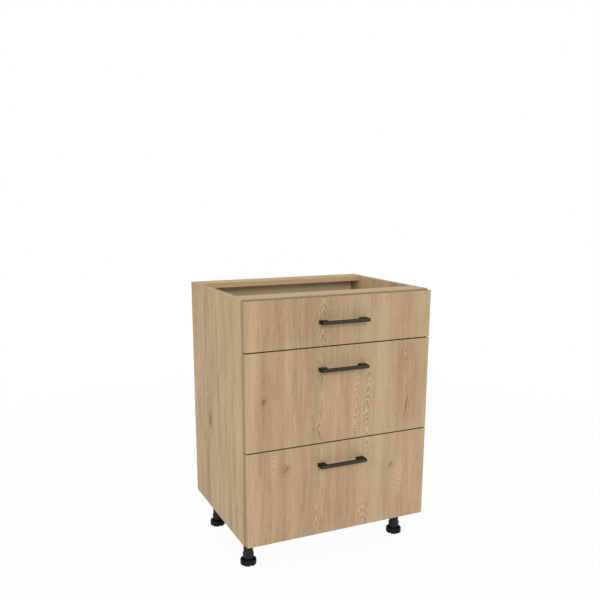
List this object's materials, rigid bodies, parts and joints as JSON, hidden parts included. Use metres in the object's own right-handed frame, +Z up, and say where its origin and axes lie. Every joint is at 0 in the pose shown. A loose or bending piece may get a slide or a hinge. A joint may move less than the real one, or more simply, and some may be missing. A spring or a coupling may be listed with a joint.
{
  "type": "kitchen base cabinet with drawers",
  "caption": "Free-standing kitchen base cabinet in light oak decor with flat drawer fronts, dark bar handles, roller runners and black adjustable legs, open on top for a worktop.",
  "frame": {"origin": "on the floor, at the middle of the cabinet's outline seen from above, handles included", "axes": "+X to the right seen from the front, +Y to the back (drawers open towards -Y), +Z up"},
  "size_m": [0.6, 0.506, 0.82],
  "materials": {
    "oak_board": "light oak decor, matt, vertical grain",
    "oak_rail": "light oak decor, matt, grain along the rail",
    "back_board": "thin board with printed oak decor",
    "drawer_board": "pale grey coated board",
    "drawer_bottom_board": "thin coated board, pale grey",
    "handle_metal": "dark anthracite powder coat",
    "runner_steel": "white powder coat",
    "roller_nylon": "white nylon",
    "leg_plastic": "black moulded plastic",
    "foot_plastic": "black moulded plastic",
    "screw_steel": "zinc plated steel",
    "lock_zinc": "cast zinc",
    "dowel_wood": "plain beech"
  },
  "bodies": {
    "carcass": {"back_left_leg_socket": "leg_plastic", "back_left_leg_tube": "leg_plastic", "back_panel": "back_board", "back_right_leg_socket": "leg_plastic", "back_right_leg_tube": "leg_plastic", "back_top_rail": "oak_rail", "bottom_cabinet_runners": "runner_steel", "bottom_panel": "oak_board", "cabinet_runner_screws": "screw_steel", "carcass_dowels": "dowel_wood", "eccentric_locks": "lock_zinc", "front_left_leg_socket": "leg_plastic", "front_left_leg_tube": "leg_plastic", "front_right_leg_socket": "leg_plastic", "front_right_leg_tube": "leg_plastic", "front_top_rail": "oak_rail", "left_side_panel": "oak_board", "leg_socket_screws": "screw_steel", "lock_bolts": "screw_steel", "middle_cabinet_runners": "runner_steel", "right_side_panel": "oak_board", "top_cabinet_runners": "runner_steel"},
    "top_drawer": {"top_drawer_box_back": "drawer_board", "top_drawer_box_bottom": "drawer_bottom_board", "top_drawer_box_front": "drawer_board", "top_drawer_box_left": "drawer_board", "top_drawer_box_right": "drawer_board", "top_drawer_front": "oak_board", "top_drawer_handle": "handle_metal", "top_drawer_runners": "runner_steel", "top_drawer_screws": "screw_steel"},
    "top_front_rollers": {"top_front_rollers": "roller_nylon"},
    "top_rear_rollers": {"top_rear_rollers": "roller_nylon"},
    "middle_drawer": {"middle_drawer_box_back": "drawer_board", "middle_drawer_box_bottom": "drawer_bottom_board", "middle_drawer_box_front": "drawer_board", "middle_drawer_box_left": "drawer_board", "middle_drawer_box_right": "drawer_board", "middle_drawer_front": "oak_board", "middle_drawer_handle": "handle_metal", "middle_drawer_runners": "runner_steel", "middle_drawer_screws": "screw_steel"},
    "middle_front_rollers": {"middle_front_rollers": "roller_nylon"},
    "middle_rear_rollers": {"middle_rear_rollers": "roller_nylon"},
    "bottom_drawer": {"bottom_drawer_box_back": "drawer_board", "bottom_drawer_box_bottom": "drawer_bottom_board", "bottom_drawer_box_front": "drawer_board", "bottom_drawer_box_left": "drawer_board", "bottom_drawer_box_right": "drawer_board", "bottom_drawer_front": "oak_board", "bottom_drawer_handle": "handle_metal", "bottom_drawer_runners": "runner_steel", "bottom_drawer_screws": "screw_steel"},
    "bottom_front_rollers": {"bottom_front_rollers": "roller_nylon"},
    "bottom_rear_rollers": {"bottom_rear_rollers": "roller_nylon"},
    "front_left_foot": {"front_left_leg_foot": "foot_plastic"},
    "front_right_foot": {"front_right_leg_foot": "foot_plastic"},
    "back_left_foot": {"back_left_leg_foot": "foot_plastic"},
    "back_right_foot": {"back_right_leg_foot": "foot_plastic"}
  },
  "joints": [
    {"name": "top_drawer_slide", "type": "slide", "parent": "carcass", "child": "top_drawer", "axis": [0, -1, 0], "range_m": [0, 0.304]},
    {"name": "top_front_roller_turn", "type": "hinge", "parent": "carcass", "child": "top_front_rollers", "pos_m": [0, -0.188, 0.715], "axis": [1, 0, 0], "range_deg": [-1, 2050.17]},
    {"name": "top_rear_roller_turn", "type": "hinge", "parent": "top_drawer", "child": "top_rear_rollers", "pos_m": [0, 0.186, 0.713], "axis": [1, 0, 0], "range_deg": [-1, 2050.17]},
    {"name": "middle_drawer_slide", "type": "slide", "parent": "carcass", "child": "middle_drawer", "axis": [0, -1, 0], "range_m": [0, 0.304]},
    {"name": "middle_front_roller_turn", "type": "hinge", "parent": "carcass", "child": "middle_front_rollers", "pos_m": [0, -0.188, 0.428], "axis": [1, 0, 0], "range_deg": [-1, 2050.17]},
    {"name": "middle_rear_roller_turn", "type": "hinge", "parent": "middle_drawer", "child": "middle_rear_rollers", "pos_m": [0, 0.186, 0.426], "axis": [1, 0, 0], "range_deg": [-1, 2050.17]},
    {"name": "bottom_drawer_slide", "type": "slide", "parent": "carcass", "child": "bottom_drawer", "axis": [0, -1, 0], "range_m": [0, 0.304]},
    {"name": "bottom_front_roller_turn", "type": "hinge", "parent": "carcass", "child": "bottom_front_rollers", "pos_m": [0, -0.188, 0.141], "axis": [1, 0, 0], "range_deg": [-1, 2050.17]},
    {"name": "bottom_rear_roller_turn", "type": "hinge", "parent": "bottom_drawer", "child": "bottom_rear_rollers", "pos_m": [0, 0.186, 0.139], "axis": [1, 0, 0], "range_deg": [-1, 2050.17]},
    {"name": "front_left_foot_height", "type": "slide", "parent": "carcass", "child": "front_left_foot", "axis": [0, 0, -1], "range_m": [-0.01, 0.015]},
    {"name": "front_right_foot_height", "type": "slide", "parent": "carcass", "child": "front_right_foot", "axis": [0, 0, -1], "range_m": [-0.01, 0.015]},
    {"name": "back_left_foot_height", "type": "slide", "parent": "carcass", "child": "back_left_foot", "axis": [0, 0, -1], "range_m": [-0.01, 0.015]},
    {"name": "back_right_foot_height", "type": "slide", "parent": "carcass", "child": "back_right_foot", "axis": [0, 0, -1], "range_m": [-0.01, 0.015]}
  ],
  "couplings": [
    {"joint": "top_front_roller_turn", "follows": "top_drawer_slide", "rad_per_m": 117.65},
    {"joint": "top_rear_roller_turn", "follows": "top_drawer_slide", "rad_per_m": 117.65},
    {"joint": "middle_front_roller_turn", "follows": "middle_drawer_slide", "rad_per_m": 117.65},
    {"joint": "middle_rear_roller_turn", "follows": "middle_drawer_slide", "rad_per_m": 117.65},
    {"joint": "bottom_front_roller_turn", "follows": "bottom_drawer_slide", "rad_per_m": 117.65},
    {"joint": "bottom_rear_roller_turn", "follows": "bottom_drawer_slide", "rad_per_m": 117.65}
  ]
}
